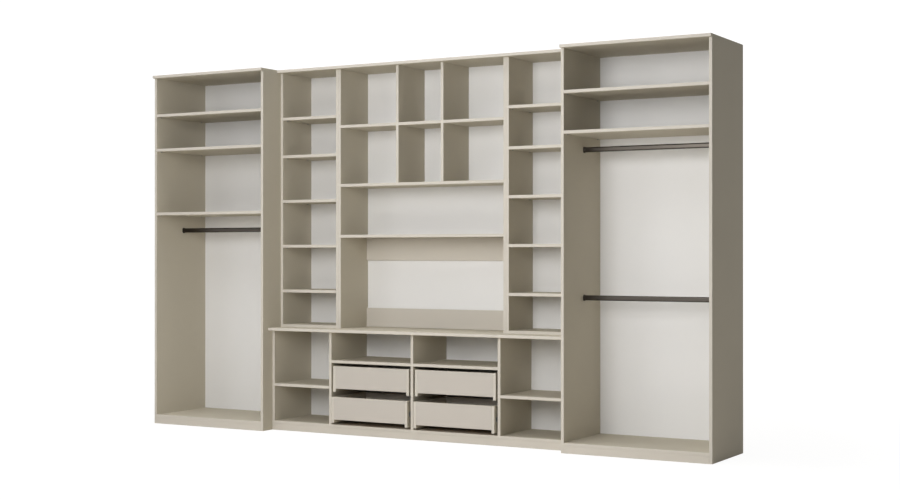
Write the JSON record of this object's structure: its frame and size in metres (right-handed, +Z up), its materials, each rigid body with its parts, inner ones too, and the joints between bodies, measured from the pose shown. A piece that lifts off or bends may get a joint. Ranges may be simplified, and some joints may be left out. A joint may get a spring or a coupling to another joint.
{
  "type": "storage wall",
  "caption": "Free-standing open storage wall: tall wardrobes with clothes rails flank a low base with drawers, shelf columns and a media bay.",
  "frame": {"origin": "middle of the footprint, on the floor", "axes": "+X along the wall to the right as seen from the front, +Y to the rear (the wall side), +Z up"},
  "size_m": [3.8996, 0.532, 2.32],
  "materials": {
    "greige_board": "melamine-faced chipboard, matt greige, edges banded to match",
    "white_back": "thin fibreboard, lacquered off-white",
    "rail_metal": "dark satin nickel"
  },
  "bodies": {
    "carcass": {"back_rail_lower": "greige_board", "back_rail_upper": "greige_board", "base_back": "white_back", "base_bottom": "greige_board", "base_counter": "greige_board", "base_divider_1": "greige_board", "base_divider_2": "greige_board", "base_divider_3": "greige_board", "base_plinth": "greige_board", "base_shelf_left": "greige_board", "base_shelf_right": "greige_board", "base_side_left": "greige_board", "base_side_right": "greige_board", "cubby_dividers_and_shelves": "greige_board", "drawer_shelf_left": "greige_board", "drawer_shelf_right": "greige_board", "left_column_back": "white_back", "left_column_inner_side": "greige_board", "left_column_outer_side_and_shelves": "greige_board", "left_wardrobe_back": "white_back", "left_wardrobe_bottom": "greige_board", "left_wardrobe_plinth": "greige_board", "left_wardrobe_rail": "rail_metal", "left_wardrobe_shelf_1": "greige_board", "left_wardrobe_shelf_2": "greige_board", "left_wardrobe_shelf_3": "greige_board", "left_wardrobe_side_left": "greige_board", "left_wardrobe_side_right": "greige_board", "left_wardrobe_top": "greige_board", "media_back": "white_back", "media_shelf_lower": "greige_board", "media_shelf_upper": "greige_board", "media_side_left": "greige_board", "media_side_right": "greige_board", "right_column_back": "white_back", "right_column_inner_side": "greige_board", "right_column_outer_side_and_shelves": "greige_board", "right_wardrobe_back": "white_back", "right_wardrobe_bottom": "greige_board", "right_wardrobe_plinth": "greige_board", "right_wardrobe_rail_lower": "rail_metal", "right_wardrobe_rail_upper": "rail_metal", "right_wardrobe_shelf_1": "greige_board", "right_wardrobe_shelf_2": "greige_board", "right_wardrobe_side_left": "greige_board", "right_wardrobe_side_right": "greige_board", "right_wardrobe_top": "greige_board", "upper_top": "greige_board"},
    "left_lower_drawer": {"left_lower_drawer_bottom": "white_back", "left_lower_drawer_box": "greige_board", "left_lower_drawer_front": "greige_board"},
    "left_upper_drawer": {"left_upper_drawer_bottom": "white_back", "left_upper_drawer_box": "greige_board", "left_upper_drawer_front": "greige_board"},
    "right_lower_drawer": {"right_lower_drawer_bottom": "white_back", "right_lower_drawer_box": "greige_board", "right_lower_drawer_front": "greige_board"},
    "right_upper_drawer": {"right_upper_drawer_bottom": "white_back", "right_upper_drawer_box": "greige_board", "right_upper_drawer_front": "greige_board"}
  },
  "joints": [
    {"name": "left_upper_drawer_slide", "type": "slide", "parent": "carcass", "child": "left_upper_drawer", "axis": [0, -1, 0], "range_m": [0, 0.29]},
    {"name": "left_lower_drawer_slide", "type": "slide", "parent": "carcass", "child": "left_lower_drawer", "axis": [0, -1, 0], "range_m": [-0.018, 0.272]},
    {"name": "right_upper_drawer_slide", "type": "slide", "parent": "carcass", "child": "right_upper_drawer", "axis": [0, -1, 0], "range_m": [0, 0.29]},
    {"name": "right_lower_drawer_slide", "type": "slide", "parent": "carcass", "child": "right_lower_drawer", "axis": [0, -1, 0], "range_m": [-0.018, 0.272]}
  ]
}
